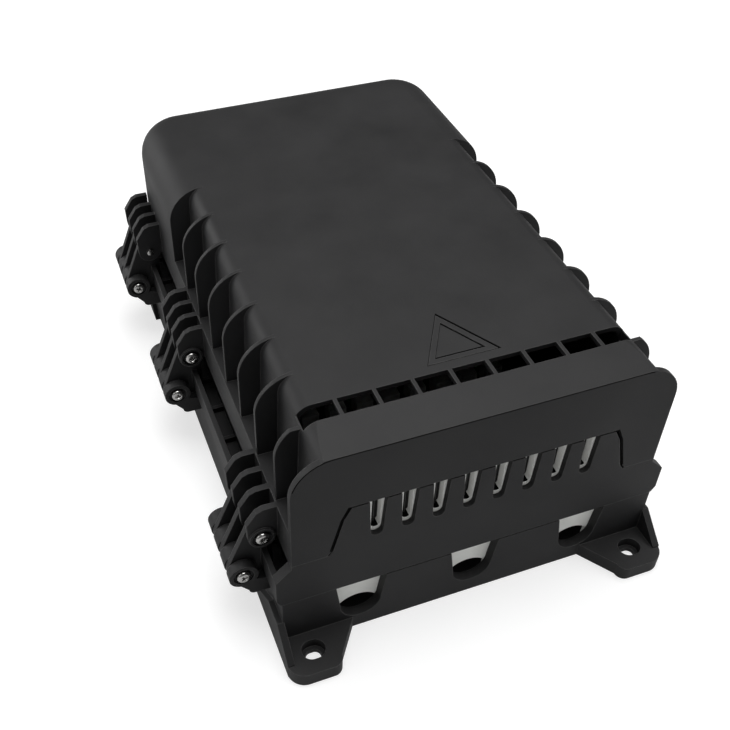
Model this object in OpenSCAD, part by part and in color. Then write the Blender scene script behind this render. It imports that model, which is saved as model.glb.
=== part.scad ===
// Wall-mounted fibre termination box, lying on its back: a base tray with four fixing feet, a
// middle frame that swings on the base and a ribbed cover that swings on the frame, both on
// interleaved hinge fins along the left side. Millimetres. X runs across the box, Y from the
// cable entry face to the far end and Z away from the wall. The origin is the centre of the
// four fixing slots, on the face that meets the wall.

/* [Box] */
// Length from the entry face to the far end
box_l = 296; // [280:1:320]
// Width of the base tray
base_w = 195; // [190:1:205]
// Height of the base tray
base_h = 36; // [36:1:44]
// How far the middle frame stands out past the base on each side
frame_overhang = 2.5; // [2:0.1:3]
// Height of the middle frame between the two partings
frame_h = 27; // [26:0.5:32]
// Width of the cover
cover_w = 185; // [180:1:187]
// Height of the cover above its parting
cover_h = 66; // [62:1:80]
// Thickness of the moulded walls
wall = 2.5; // [2:0.1:3]
// Thickness of the floors
floor_t = 2.5; // [2:0.1:3.5]
// Thickness of the panel that the cables pass through
panel_t = 5; // [4:0.1:6]
// Plan radius of the two far corners
far_r = 25; // [18:0.5:30]

/* [Cover] */
// Height of the plain skirt along the foot of the cover
skirt_h = 20.5; // [18:0.5:24]
// Radius of the long upper edges
edge_r = 19.5; // [14:0.5:20]
// How far the ribbed tunnel is set in from the skirt at its foot
tunnel_foot_inset = 10.5; // [8:0.5:12]
// How far the ribbed tunnel is set in from the skirt at its top
tunnel_top_inset = 12; // [11:0.5:14]
// Radius of the tunnel's own shoulder
shoulder_r = 8.5; // [6:0.5:10]
// Distance from one rib to the next
rib_pitch = 25.4; // [24:0.2:27]
// Distance from the entry face to the first rib
rib_first_y = 23; // [22:0.5:26]
// How far the ribs are set in from the skirt
rib_inset = 0.7; // [0.3:0.1:1]
// Thickness of a rib
rib_t = 2; // [1.5:0.1:3]
// Number of ribs on each side
rib_n = 7; // [4:1:7]
// Thickness of the end plate above the entry panel
end_t = 3; // [2:0.1:4]
// How far the top falls from the windows to the end plate
end_drop = 2; // [1:0.5:3]
// Distance from the entry face to the window row
window_y = 20.3; // [18:0.1:21]
// Length of a window along the box
window_l = 9.5; // [8:0.5:10]
// Distance from one window to the next
window_pitch = 17.8; // [16:0.1:18]
// Thickness of the bar between two windows
window_bar = 1.8; // [1.5:0.1:3]
// Number of windows
window_n = 9; // [5:2:9]
// Side of the raised triangular outline on the top
emblem_side = 34; // [26:1:40]

/* [Cable entries] */
// Number of drop cable slots
slot_n = 8; // [4:2:8]
// Distance from one drop cable slot to the next
slot_pitch = 15; // [14:0.5:15]
// Width of a drop cable slot at its mouth
slot_w = 8.3; // [7.5:0.1:9]
// Radius of the round foot of a drop cable slot
slot_r = 3; // [2.6:0.1:3.4]
// Depth of a drop cable slot from its mouth
slot_depth = 23.6; // [20:0.2:24]
// Height of the slotted tongue above the cover's parting
tongue_h = 29.2; // [28:0.2:34]
// Gap between the tongue and the cover round it
tongue_gap = 1; // [0.8:0.1:1.5]
// Distance from one feeder port to the next
port_pitch = 58.5; // [56:0.5:60]
// Radius of the round foot of a feeder port
port_r = 10.2; // [9:0.1:10.5]
// Width of a feeder port at the parting
port_w = 25.6; // [24:0.2:27]
// Height of the centre of a feeder port's round foot
port_z = 19; // [18.5:0.1:20]
// Thickness of the seals behind the entries
seal_t = 6; // [5:0.5:7]

/* [Hinges] */
// Distance of the upper hinge pins outside the cover's side
upper_pin_out = 7.5; // [7.3:0.1:8.5]
// Height of the upper hinge pins above the cover's parting
upper_pin_up = 2.5; // [2:0.1:3]
// Distance of the lower hinge pins outside the base's side
lower_pin_out = 12.5; // [12:0.1:14]
// Height of the lower hinge pins above the frame's parting
lower_pin_up = 5; // [4.5:0.1:6]
// Radius of a hinge pin
pin_r = 2; // [1.8:0.1:2.2]
// Radius of the round boss of a fin
boss_r = 6.5; // [6:0.1:6.8]
// Thickness of a hinge fin
fin_t = 3; // [2.5:0.1:3.2]
// Distance from one hinge fin to the next
fin_pitch = 11; // [10.5:0.1:12]
// Number of cover fins at each hinge
fin_n = 4; // [3:1:4]

/* [Feet] */
// Distance between the slots across the box
foot_slot_w = 172; // [168:1:176]
// Distance from the box's end to a slot's centre
foot_slot_out = 9.8; // [9:0.2:11]
// Length of a fixing slot
foot_slot_l = 7.6; // [7:0.1:8.4]
// Width of a fixing slot
foot_slot_d = 6; // [5:0.1:6.4]
// How far a foot reaches past the box's end
foot_l = 22; // [20:0.5:26]
// Thickness of a foot
foot_t = 8; // [7:0.5:10]
// Width of a foot at the toe
foot_toe_w = 26; // [24:1:30]
// Width of a foot where it leaves the box
foot_root_w = 38; // [34:1:42]

/* [Latches] */
// Width of a latch
latch_w = 16; // [12:1:20]
// Thickness of a latch's arm
latch_t = 2.5; // [2:0.1:3]
// Radius of a latch pin
latch_pin_r = 1.5; // [1.2:0.1:1.8]

/* [Inside] */
// Distance from the entry face to the adapter panel
adapter_y = 110; // [100:1:120]
// Number of rows of adapters
adapter_rows = 2; // [1:1:2]
// Length of a splice tray
tray_l = 140; // [120:1:145]
// Width of a splice tray
tray_w = 130; // [100:1:140]
// Height of a splice tray
tray_h = 8; // [7:0.5:9]

/* [Hidden] */
$fn = 64;

// Overrun of every cut
cut = 1;
// Radial clearance of a pin in its bore
pin_fit = 0.05;
// Gap between pieces that only lie beside each other
seat_gap = 0.3;
black = "#232325";
silver = "#c8c9cc";
seal_grey = "#e6e7e4";

// Levels from the wall outwards
frame_z = base_h;
cover_z = frame_z + frame_h;
skirt_z = cover_z + skirt_h;
top_z = cover_z + cover_h;
plate_z = frame_z + floor_t;
end_z = top_z - end_drop;
tongue_z = cover_z + tongue_h;

// Half widths
base_x = base_w / 2;
frame_x = base_x + frame_overhang;
cover_x = cover_w / 2;
tunnel_foot_x = cover_x - tunnel_foot_inset;
tunnel_top_x = cover_x - tunnel_top_inset;
hood_y = rib_pitch * (rib_n + 1);

// The frame's side channel
rim_t = 2.7;
rim_h = 16;
rim_chamfer_x = 2;
rim_chamfer_z = 3.5;
seat_w = 6;
frame_wall_inset = 3.5;
frame_wall_x = cover_x - frame_wall_inset;
frame_wall_y = box_l - rim_t;
channel_rib_pitch = 23.3;
channel_rib_h = 3.5;
channel_rib_t = 2;
channel_rib_start = 9.4;

// Gaskets lie in grooves
groove_w = 1.8;
groove_d = 1.5;
groove_in = 0.6;
base_rim_w = 6;
base_rim_h = 6;
base_groove_in = 2.2;
base_groove_w = 2.2;
base_groove_d = 2;
parting_h = 0.8;
parting_in = 1;

// Hinges: the first fin of each of the three
hinge_l = fin_pitch * (fin_n - 1) + fin_t;
hinge_end = 18.5;
hinge_mid = 143.5;
hinge_y = [hinge_end, hinge_mid, box_l - hinge_end - hinge_l];
fin_gap = 1;
frame_fin_y = fin_t + fin_gap;
ear_gap = 0.3;
ear_r = 7;
upper_pin = [-cover_x - upper_pin_out, cover_z + upper_pin_up];
lower_pin = [-base_x - lower_pin_out, frame_z + lower_pin_up];
head_r = 3.5;
head_h = 2.4;
collar_r = 6;
collar_bore_r = 4.9;
collar_h = 1.2;
pin_end = 1.5;

// Feet
foot_edge_in = 14.3;
foot_edge_x = foot_slot_w / 2 + foot_edge_in;
foot_corner_r = 8.5;
foot_inner_r = 5;
foot_side_t = 3.5;
foot_side_z = 22;
foot_toe_z = 9;
foot_side_y = 15;
foot_flank_l = 40;
foot_recess_grow = 2;
foot_recess_floor = 2.5;

// Latches hang from brackets on one layer, just clear of keepers on the layer below
cover_latch_end = 45;
frame_latch_end = 85;
cover_latch_y = [cover_latch_end, box_l - cover_latch_end];
frame_latch_y = [frame_latch_end, box_l - frame_latch_end];
keeper_h = 6;
keeper_lip = 1;
cover_keeper_out = 3.5;
frame_keeper_out = 3;
cover_keeper_up = 8;
frame_keeper_z = 19;
cover_keeper = [frame_x + cover_keeper_out, frame_z + cover_keeper_up];
frame_keeper = [frame_x + frame_keeper_out, frame_keeper_z];
hook_gap = 0.5;
hook_l = 1.2;
hook_h = 2.5;
cover_pivot_up = 13;
frame_pivot_up = 12;
latch_reach = hook_gap + hook_l + latch_t / 2;
cover_latch_pivot = [cover_keeper[0] + latch_reach, cover_z + cover_pivot_up];
frame_latch_pivot = [frame_keeper[0] + latch_reach, frame_z + frame_pivot_up];
latch_barrel_r = 3.2;
latch_lug_t = 3;
latch_lug_r = 4;
latch_gap = 0.4;
bracket_t = 2;
bracket_tab = 7;
bracket_w = latch_w + 2 * (latch_gap + latch_lug_t);
rivet_r = 1.5;
rivet_head_r = 2.6;
rivet_head_h = 1.2;
rivet_tail_r = 2.2;
rivet_tail_h = 0.8;

// Shared inside sizes
screw_r = 1.5;
screw_head_r = 2.8;
screw_head_h = 1.8;
screw_l = 6;
boss_post_r = 3.5;

module placed() translate([0, -box_l / 2, 0]) children();

// Stands a drawing of X and Z up in the box, from one distance along the box over a length
module along(y, length) {
  translate([0, y + length, 0]) rotate([90, 0, 0]) linear_extrude(length) children();
}

// Lays a drawing of X and Y flat at a height
module flat(z, height) translate([0, 0, z]) linear_extrude(height) children();

// A cylinder along the box
module rod(p, y, length, r) {
  translate([p[0], y + length, p[1]]) rotate([90, 0, 0]) cylinder(h = length, r = r);
}

// Plan of a shell: square at the entry end, round at the two far corners
module plan(half, y0, y1, r) {
  translate([-half, y0]) square([2 * half, y1 - y0 - r]);
  translate([-half + r, y0]) square([2 * (half - r), y1 - y0]);
  for (s = [-1, 1]) translate([s * (half - r), y1 - r]) circle(r);
}

module plan_ring(half, y0, y1, r, t) {
  difference() {
    plan(half, y0, y1, r);
    plan(half - t, y0 - cut, y1 - t, r - t);
  }
}

// Arch of the cover across the box
module arch(half, z0, z1, r) {
  translate([-half, z0]) square([2 * half, z1 - z0 - r]);
  translate([-half + r, z0]) square([2 * (half - r), z1 - z0]);
  for (s = [-1, 1]) translate([s * (half - r), z1 - r]) circle(r);
}

// Tunnel between the two rows of ribs: sloping sides with a round shoulder
tunnel_slope = atan2(tunnel_foot_x - tunnel_top_x, top_z - skirt_z);
module tunnel(inset, z0, z1) {
  r = shoulder_r - (inset > 0 ? inset / 2 : 0);
  side = [cos(tunnel_slope), sin(tunnel_slope)];
  reach = inset + r;
  cz = z1 - r;
  cx = tunnel_foot_x - (reach + (cz - skirt_z) * side[1]) / side[0];
  foot = tunnel_foot_x - (inset + (z0 - skirt_z) * side[1]) / side[0];
  polygon([
    [-foot, z0], [foot, z0], [cx + r * side[0], cz + r * side[1]], [cx, cz + r],
    [-cx, cz + r], [-cx - r * side[0], cz + r * side[1]]
  ]);
  for (s = [-1, 1]) translate([s * cx, cz]) circle(r);
}

// Hood at the far end, with its edge rolled round the two corners
module hood(inset) {
  half = cover_x - inset;
  y0 = hood_y + inset;
  y1 = box_l - inset;
  z1 = top_z - inset;
  r = far_r - inset;
  er = edge_r - inset;
  along(y0, y1 - r - y0) arch(half, cover_z, z1, er);
  translate([-half + r, 0, 0])
    rotate([90, 0, 90])
      linear_extrude(2 * (half - r)) {
        translate([y0, cover_z]) square([y1 - er - y0, z1 - cover_z]);
        translate([y0, cover_z]) square([y1 - y0, z1 - er - cover_z]);
        translate([y1 - er, z1 - er]) circle(er);
      }
  for (s = [-1, 1]) translate([s * (half - r), y1 - r, 0]) rotate_extrude() {
    translate([0, cover_z]) square([r, z1 - er - cover_z]);
    translate([0, cover_z]) square([r - er, z1 - cover_z]);
    intersection() {
      translate([r - er, z1 - er]) circle(er);
      translate([0, cover_z]) square([r, z1 - cover_z]);
    }
  }
}

// Pan-head screw with its shank down and the underside of its head at the origin
module pan_screw(shank_r, length, hr, hh) {
  translate([0, 0, -length]) cylinder(h = length + hh / 2, r = shank_r);
  rotate_extrude() intersection() {
    translate([0, hh - hr * hr / hh]) circle(hr * hr / hh, $fn = 96);
    square([hr, hh]);
  }
}

// Slot for one drop cable, open at the top of the tongue
module drop_slot(grow) {
  foot_z = tongue_z - slot_depth + slot_r;
  r = slot_r + grow;
  mouth = slot_w / 2 + grow;
  translate([0, foot_z]) circle(r);
  polygon([[-r, foot_z], [r, foot_z], [mouth, tongue_z + cut], [-mouth, tongue_z + cut]]);
}

module each_slot() {
  for (i = [0 : slot_n - 1]) translate([(i - (slot_n - 1) / 2) * slot_pitch, 0]) children();
}

module each_port() {
  for (i = [-1 : 1]) translate([i * port_pitch, 0, 0]) children();
}

// Feeder port in the base, open at the parting
module port_shape() {
  translate([0, port_z]) circle(port_r);
  polygon([
    [-port_r, port_z], [port_r, port_z], [port_w / 2, base_h + cut], [-port_w / 2, base_h + cut]
  ]);
}

// Tongue of the entry panel; grow widens it for the notch in the cover
tongue_foot_x = 75;
tongue_knee = [73, 3];
tongue_side = [68.2, 22.6];
tongue_top_x = 64.8;
module tongue(grow) {
  top = tongue_z + grow;
  polygon([
    [-tongue_foot_x - grow, cover_z - cut], [-tongue_foot_x - grow, cover_z],
    [-tongue_knee[0] - grow, cover_z + tongue_knee[1]],
    [-tongue_side[0] - grow, cover_z + tongue_side[1]], [-tongue_top_x - grow, top],
    [tongue_top_x + grow, top], [tongue_side[0] + grow, cover_z + tongue_side[1]],
    [tongue_knee[0] + grow, cover_z + tongue_knee[1]], [tongue_foot_x + grow, cover_z],
    [tongue_foot_x + grow, cover_z - cut]
  ]);
}

// Entry panel of the middle frame with sloping shoulders
shoulder_in = 9.5;
shoulder_drop = 9.4;
module entry_panel() {
  polygon([
    [-frame_x + rim_chamfer_x, frame_z], [frame_x - rim_chamfer_x, frame_z],
    [frame_x, frame_z + rim_chamfer_z], [frame_x, cover_z - shoulder_drop],
    [frame_x - shoulder_in, cover_z], [-frame_x + shoulder_in, cover_z],
    [-frame_x, cover_z - shoulder_drop], [-frame_x, frame_z + rim_chamfer_z]
  ]);
}

// Outline of a cover fin: an arm over the skirt and a boss round the upper pin
fin_arm_out = [6.4, 9.6, 14.3];
fin_arm_up = [20.5, 19, 12];
fin_foot_up = 0.5;
module cover_fin() {
  translate(upper_pin) circle(boss_r);
  polygon([
    [-cover_x, cover_z + fin_foot_up], [-cover_x, skirt_z],
    for (i = [0 : 2]) [-cover_x - fin_arm_out[i], cover_z + fin_arm_up[i]],
    upper_pin + [-boss_r, 0], upper_pin
  ]);
}

// Outline of a frame fin: one boss on each pin, joined to the rim
fin_dir = (upper_pin - lower_pin) / norm(upper_pin - lower_pin);
fin_side = [-fin_dir[1], fin_dir[0]] * boss_r;
fin_root_in = 5.5;
fin_root_x = frame_x - fin_root_in;
module frame_fin() {
  translate(upper_pin) circle(boss_r);
  translate(lower_pin) circle(boss_r);
  polygon([
    upper_pin + fin_side, lower_pin + fin_side, lower_pin + [0, -boss_r],
    [-frame_x + rim_chamfer_x, frame_z], [-fin_root_x, frame_z], [-fin_root_x, cover_z],
    upper_pin + [boss_r, 0]
  ]);
}

// Outline of a base ear: a barrel on the lower pin and a web down to the base
ear_foot = [10.5, 9.5];
ear_toe_r = 3;
ear_top_gap = 0.5;
module base_ear() {
  translate(lower_pin) circle(ear_r);
  toe = [-base_x - ear_foot[0] + ear_toe_r, frame_z - ear_foot[1] + ear_toe_r];
  translate(toe) circle(ear_toe_r);
  polygon([
    lower_pin + [-ear_r, 0], toe + [-ear_toe_r, 0], toe + [0, -ear_toe_r],
    [-base_x + cut, frame_z - ear_foot[1]], [-base_x + cut, frame_z - ear_top_gap],
    [-base_x - frame_overhang, frame_z - ear_top_gap], lower_pin + [ear_r / 2, -ear_r / 2],
    lower_pin
  ]);
}

// A foot, drawn at the entry end on the right
module foot_plan() {
  heel = foot_edge_x - foot_corner_r;
  inner = foot_edge_x - foot_toe_w;
  polygon([
    [foot_edge_x - foot_root_w, 0], [inner, foot_inner_r - foot_l], [inner + foot_inner_r, -foot_l],
    [heel, -foot_l], [foot_edge_x, foot_corner_r - foot_l], [foot_edge_x, far_r],
    [foot_edge_x - foot_root_w, far_r]
  ]);
  translate([heel, foot_corner_r - foot_l]) circle(foot_corner_r);
  translate([inner + foot_inner_r, foot_inner_r - foot_l]) circle(foot_inner_r);
}

module foot_slot(l, d) {
  square([l - d, d], center = true);
  for (s = [-1, 1]) translate([s * (l - d) / 2, 0]) circle(d / 2);
}

module foot() {
  difference() {
    flat(0, foot_t) foot_plan();
    translate([foot_slot_w / 2, -foot_slot_out, 0]) {
      flat(-cut, foot_t + 2 * cut) foot_slot(foot_slot_l, foot_slot_d);
      flat(foot_recess_floor, foot_t)
        foot_slot(foot_slot_l + 2 * foot_recess_grow, foot_slot_d + 2 * foot_recess_grow);
    }
  }
  translate([foot_edge_x - foot_side_t, 0, 0]) rotate([90, 0, 90]) linear_extrude(foot_side_t) polygon([
    [-foot_side_y, 0], [-foot_side_y, foot_toe_z], [0, foot_side_z],
    [foot_flank_l / 3, foot_side_z], [foot_flank_l, 0]
  ]);
}

module feet() {
  for (m = [0, 1]) mirror([m, 0, 0]) {
    foot();
    translate([0, box_l, 0]) mirror([0, 1, 0]) foot();
  }
}

// The base tray
saddle_y = 34;
saddle_l = 12;
saddle_w = 30;
cable_r = 5;
cable_z = port_z - port_r + cable_r;
post_y = 60;
post_w = 9;
tray_y = 105;
tray_z = floor_t + 6;
tray_post_in = 6;
base_post_r = 4.5;
module each_tray_post() {
  for (sx = [-1, 1], sy = [-1, 1]) {
    x = tray_w / 2 - tray_post_in;
    y = tray_l / 2 - tray_post_in;
    translate([sx * x, tray_y + tray_l / 2 + sy * y, 0]) children();
  }
}

module base() {
  color(black) placed() difference() {
    union() {
      difference() {
        union() {
          flat(0, base_h) plan(base_x, 0, box_l, far_r - frame_overhang);
          feet();
        }
        flat(floor_t, base_h)
          plan(base_x - wall, panel_t, box_l - wall, far_r - frame_overhang - wall);
      }
      flat(base_h - base_rim_h, base_rim_h)
        plan_ring(base_x, 0, box_l, far_r - frame_overhang, base_rim_w);
      flat(base_h - base_rim_h, base_rim_h)
        translate([-base_x + wall, 0]) square([2 * (base_x - wall), panel_t + seal_t + seat_gap]);
      each_port() translate([-saddle_w / 2, saddle_y, floor_t / 2])
        cube([saddle_w, saddle_l, cable_z - floor_t / 2]);
      each_tray_post() translate([0, 0, floor_t / 2])
        cylinder(h = tray_z - floor_t / 2, r = base_post_r);
      for (y = hinge_y) base_ears(y);
    }
    each_port() {
      along(-cut, panel_t + 2 * cut) port_shape();
      seal_pocket();
      rod([0, cable_z], saddle_y - cut, saddle_l + 2 * cut, cable_r);
      for (s = [-1, 1]) translate([s * clamp_screw_x, saddle_y + saddle_l / 2, cable_z - screw_l])
        cylinder(h = screw_l + cut, r = screw_r + pin_fit);
    }
    each_tray_post() translate([0, 0, floor_t]) cylinder(h = tray_z, r = screw_r + pin_fit);
    flat(base_h - base_groove_d, base_groove_d + cut) base_gasket_plan();
    translate([-port_pitch, -cut, base_h - parting_h])
      cube([2 * port_pitch, parting_in + cut, parting_h + cut]);
    for (y = hinge_y) {
      rod(lower_pin, y - collar_h - cut, hinge_l + 2 * (collar_h + cut), pin_r + pin_fit);
      rod(lower_pin, y - collar_h - cut, collar_h + cut, collar_bore_r);
    }
    keeper_rivets(base_x, frame_keeper, frame_latch_y) rivet_bore();
  }
}

// Ears between the frame fins, the outer ones as thick as a fin
module base_ears(y) {
  for (i = [0 : fin_n - 1]) {
    y0 = i == 0 ? y - collar_h : y + (i - 1) * fin_pitch + frame_fin_y + fin_t + ear_gap;
    y1 = i == fin_n - 1 ? y + hinge_l : y + i * fin_pitch + frame_fin_y - ear_gap;
    along(y0, y1 - y0) base_ear();
  }
}

seal_side = 2.5;
seal_top_z = base_h - base_groove_d;
module seal_pocket() {
  translate([-port_w / 2 - seal_side, panel_t, floor_t])
    cube([port_w + 2 * seal_side, seal_t + cut, base_h]);
}

module base_gasket_plan() {
  y0 = panel_t + (seal_t - base_groove_w) / 2;
  difference() {
    plan(base_x - base_groove_in, y0, box_l - base_groove_in, far_r - frame_overhang - base_groove_in);
    plan(
      base_x - base_groove_in - base_groove_w, y0 + base_groove_w,
      box_l - base_groove_in - base_groove_w, far_r - frame_overhang - base_groove_in - base_groove_w
    );
  }
}

// The middle frame: channels along both sides, the entry panel and the plate under the adapters
pass_l = 50;
pass_w = 18;
pass_y = 258;
comb_y = 27;
comb_w = 134;
comb_foot = 12;
comb_t = 2.5;
panel_w = 136;
adapter_panel_t = 2;
panel_foot = 12;
panel_screw_in = 16;
panel_screw_x = panel_w / 2 - panel_screw_in;
comb_screw_in = 11;
comb_screw_x = comb_w / 2 - comb_screw_in;
module pass_hole(grow) translate([0, pass_y]) foot_slot(pass_l + 2 * grow, pass_w + 2 * grow);

module middle_frame() {
  color(black) placed() difference() {
    union() {
      frame_shell();
      for (y = hinge_y, i = [0 : fin_n - 2])
        along(y + i * fin_pitch + frame_fin_y, fin_t) frame_fin();
      strip_holder();
    }
    flat(cover_z - groove_d, groove_d + cut) cover_gasket_plan();
    along(-cut, panel_t + 2 * cut) each_slot() drop_slot(0);
    flat(frame_z - cut, floor_t + 2 * cut) pass_hole(0);
    for (y = hinge_y) rod(lower_pin, y - cut, hinge_l + 2 * cut, pin_r + pin_fit);
    for (y = hinge_y) rod(upper_pin, y - cut, hinge_l + 2 * cut, pin_r + pin_fit);
    keeper_rivets(frame_x, cover_keeper, cover_latch_y) rivet_bore();
    bracket_rivets(frame_x, frame_latch_pivot, frame_latch_y) rivet_bore();
    for (s = [-1, 1]) {
      translate([s * panel_screw_x, adapter_y + panel_foot / 2, frame_z - cut])
        cylinder(h = floor_t + 2 * cut, r = screw_r + pin_fit);
      translate([s * comb_screw_x, comb_y + comb_foot / 2, frame_z - cut])
        cylinder(h = floor_t + 2 * cut, r = screw_r + pin_fit);
    }
  }
}

module frame_shell() {
  intersection() {
    union() {
      flat(frame_z, floor_t) plan(frame_x, 0, box_l, far_r);
      flat(frame_z, rim_h) plan_ring(frame_x, 0, box_l, far_r, rim_t);
      for (y = [channel_rib_start : channel_rib_pitch : box_l - far_r])
        for (s = [-1, 1])
          translate([s * (frame_x + frame_wall_x) / 2, y, plate_z + channel_rib_h / 2 - cut / 2])
            cube([frame_x - frame_wall_x, channel_rib_t, channel_rib_h + cut], center = true);
    }
    along(-cut, box_l + 2 * cut) entry_panel();
  }
  flat(frame_z, frame_h) difference() {
    plan(frame_wall_x, 0, frame_wall_y, far_r - frame_wall_inset);
    plan(frame_wall_x - wall, panel_t, frame_wall_y - wall, far_r - frame_wall_inset - wall);
  }
  flat(cover_z - floor_t, floor_t) difference() {
    plan(cover_x, 0, box_l, far_r);
    plan(cover_x - seat_w, panel_t, box_l - seat_w, far_r - seat_w);
  }
  along(0, panel_t) entry_panel();
  along(0, panel_t) tongue(0);
}

// Two rails that hold the seal of the drop slots behind the tongue
strip_x = tongue_top_x - 2;
strip_z = tongue_z - slot_depth - slot_r;
rail_w = 2;
module strip_holder() {
  for (s = [-1, 1])
    translate([s > 0 ? strip_x + seat_gap : -strip_x - seat_gap - rail_w, panel_t - cut, strip_z])
      cube([rail_w, seal_t + cut, tongue_z - strip_z - floor_t]);
  translate([-strip_x - seat_gap - rail_w, panel_t - cut, strip_z - rail_w])
    cube([2 * (strip_x + seat_gap + rail_w), seal_t + cut, rail_w]);
}

module cover_gasket_plan() {
  difference() {
    plan(cover_x - groove_in, groove_in, box_l - groove_in, far_r - groove_in);
    plan(
      cover_x - groove_in - groove_w, groove_in + groove_w,
      box_l - groove_in - groove_w, far_r - groove_in - groove_w
    );
    translate([-tongue_foot_x - 2 * tongue_gap, -cut])
      square([2 * (tongue_foot_x + 2 * tongue_gap), panel_t + 2 * cut]);
  }
}

// The cover: end plate, ribbed tunnel over a plain skirt, and hood
window_w = window_pitch - window_bar;
window_row_x = (window_n - 1) / 2 * window_pitch + window_w / 2;
window_end_drop = 4.3;
module window_row() {
  for (i = [0 : window_n - 1])
    translate([(i - (window_n - 1) / 2) * window_pitch - window_w / 2, window_y, top_z - edge_r / 2])
      cube([window_w, window_l, edge_r]);
}

// Clears the first rib's crest down to the ends of the window row
module window_row_ends() {
  for (m = [0, 1]) mirror([m, 0, 0]) translate([window_row_x, window_y, top_z - window_end_drop])
    cube([cover_x - window_row_x, window_l, edge_r]);
}

module cover_shell() {
  difference() {
    union() {
      along(0, hood_y + wall) tunnel(0, skirt_z - wall, top_z);
      flat(cover_z, skirt_h) plan(cover_x, 0, hood_y + far_r + wall, far_r);
      along(0, end_t) arch(cover_x, cover_z, end_z, edge_r);
      for (i = [1 : rib_n]) along((i == 1 ? rib_first_y : i * rib_pitch) - rib_t / 2, rib_t)
        arch(cover_x - rib_inset, skirt_z - wall, top_z, edge_r);
      hood(0);
    }
    along(end_t, hood_y + 2 * wall) tunnel(wall, cover_z - cut, top_z - wall);
    translate([0, 0, -cut]) flat(cover_z, skirt_h - wall + cut)
      translate([-cover_x + wall, end_t]) square([2 * (cover_x - wall), hood_y + wall]);
    translate([0, 0, -cut / 2]) hood(wall);
    end_slope();
    window_row_ends();
  }
}

// Wedge that lets the top fall towards the end plate
module end_slope() {
  fall = atan2(end_drop, window_y);
  translate([-cover_x, window_y, top_z]) rotate([fall, 0, 0])
    translate([0, -2 * window_y, 0]) cube([2 * cover_x, 2 * window_y, cover_h]);
}

// Raised outline of an empty equilateral triangle near the entry end
emblem_y = 34.6;
emblem_line = 2.6;
emblem_h = 0.4;
module emblem_shape(inset) {
  side = emblem_side - 2 * inset * sqrt(3);
  rise = side * sqrt(3) / 2;
  translate([0, emblem_y + inset]) polygon([[-side / 2, 0], [side / 2, 0], [0, rise]]);
}

module cover() {
  color(black) placed() {
    difference() {
      union() {
        cover_shell();
        for (y = hinge_y, i = [0 : fin_n - 1]) along(y + i * fin_pitch, fin_t) cover_fin();
        for (i = [0 : 1]) rod(upper_pin, hinge_y[i] - collar_h, collar_h + fin_t, collar_r);
        rod(upper_pin, hinge_y[2] + hinge_l - fin_t, collar_h + fin_t, collar_r);
      }
      window_row();
      along(-cut, end_t + 2 * cut) tongue(tongue_gap);
      for (y = hinge_y)
        rod(upper_pin, y - collar_h - cut, hinge_l + 2 * (collar_h + cut), pin_r + pin_fit);
      for (i = [0 : 1]) rod(upper_pin, hinge_y[i] - collar_h - cut, collar_h + cut, collar_bore_r);
      rod(upper_pin, hinge_y[2] + hinge_l, collar_h + cut, collar_bore_r);
      bracket_rivets(cover_x, cover_latch_pivot, cover_latch_y) rivet_bore();
    }
    flat(top_z - cut, emblem_h + cut) difference() {
      emblem_shape(0);
      emblem_shape(emblem_line);
    }
  }
}

module base_gasket() {
  color("#303032") placed() flat(base_h - base_groove_d, base_groove_d) base_gasket_plan();
}

module cover_gasket() {
  color("#303032") placed() flat(cover_z - groove_d, groove_d) cover_gasket_plan();
}

// Seals with an arch over each feeder cable
arch_r = 12.5;
arch_z = 6;
module feeder_port_seals() {
  color(seal_grey) placed() each_port() difference() {
    translate([-port_w / 2 - seal_side + seat_gap, panel_t + seat_gap / 2, floor_t])
      cube([port_w + 2 * seal_side - 2 * seat_gap, seal_t - seat_gap, seal_top_z - floor_t]);
    rod([0, arch_z], panel_t - cut, seal_t + 2 * cut, arch_r);
  }
}

// Soft seal strip behind the drop slots
module drop_slot_seal() {
  color(seal_grey) placed() translate([-strip_x, panel_t + seat_gap / 2, strip_z])
    cube([2 * strip_x, seal_t - seat_gap, tongue_z - strip_z - seat_gap]);
}

module hinge_screw(p, y, forward) {
  shank = hinge_l + pin_end;
  translate([p[0], forward ? y : y + hinge_l, p[1]]) rotate([forward ? 90 : -90, 0, 0])
    pan_screw(pin_r, shank, head_r, head_h);
}

module lower_hinge_screws() {
  color(silver) placed() for (y = hinge_y) hinge_screw(lower_pin, y, true);
}

module upper_hinge_screws() {
  color(silver) placed() for (i = [0 : 2]) hinge_screw(upper_pin, hinge_y[i], i < 2);
}

// A latch hangs from its pin, with its hook just clear of the keeper
module latch(pivot, tip, y) {
  inner = pivot[0] - latch_t / 2;
  hook_z = tip[1] - hook_gap;
  color(black) placed() difference() {
    along(y - latch_w / 2, latch_w) {
      translate(pivot) circle(latch_barrel_r);
      polygon([
        [inner, pivot[1]], [inner + latch_t, pivot[1]], [inner + latch_t, hook_z - 2 * hook_h],
        [inner, hook_z - 2 * hook_h], [inner, hook_z - hook_h],
        [inner - hook_l, hook_z - hook_h / 2], [inner - hook_l, hook_z], [inner, hook_z]
      ]);
    }
    rod(pivot, y - latch_w, 2 * latch_w, latch_pin_r + pin_fit);
  }
}

module front_cover_latch() latch(cover_latch_pivot, cover_keeper, cover_latch_y[0]);
module rear_cover_latch() latch(cover_latch_pivot, cover_keeper, cover_latch_y[1]);
module front_frame_latch() latch(frame_latch_pivot, frame_keeper, frame_latch_y[0]);
module rear_frame_latch() latch(frame_latch_pivot, frame_keeper, frame_latch_y[1]);

// Places on each side of a latch where a bracket or a keeper is riveted to a side wall
module bracket_rivets(side, pivot, ys) {
  for (y = ys, s = [-1, 1])
    translate([side + bracket_t, y + s * (bracket_w + bracket_tab) / 2, pivot[1]])
      rotate([0, 90, 0]) children();
}

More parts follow.
